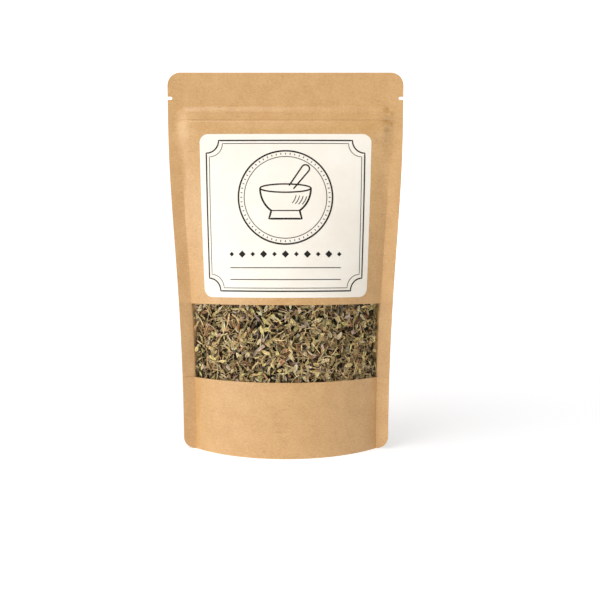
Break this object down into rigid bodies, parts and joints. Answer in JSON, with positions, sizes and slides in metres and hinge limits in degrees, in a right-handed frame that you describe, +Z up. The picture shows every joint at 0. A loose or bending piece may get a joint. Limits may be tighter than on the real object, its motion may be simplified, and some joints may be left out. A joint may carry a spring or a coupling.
{
  "type": "stand-up pouch of dried thyme",
  "caption": "Stand-up kraft-paper pouch with a clear window strip, zip closure, tear notches and a plain front label, filled with loose dried thyme leaf and stem",
  "frame": {"origin": "middle of the opened base, on the plane that the bottom edges stand on", "axes": "+Z up along the pouch's height, +X across its width to the right seen from the front, +Y from front to back"},
  "size_m": [0.13, 0.0466, 0.213],
  "materials": {
    "kraft_paper": "matte brown kraft paper with a fine fibre grain",
    "clear_film": "clear glossy film",
    "zip_plastic": "milky polyethylene",
    "label_paper": "smooth cream label paper",
    "dried_thyme": "dry crumbled leaf and stem, matte"
  },
  "bodies": {
    "root": {"front_kraft_upper": "kraft_paper", "front_kraft_lower": "kraft_paper", "back_kraft": "kraft_paper", "bottom_gusset": "kraft_paper", "window_film": "clear_film", "zip_rib_track": "zip_plastic", "zip_groove_track": "zip_plastic", "label": "label_paper", "dried_thyme": "dried_thyme"}
  },
  "joints": []
}
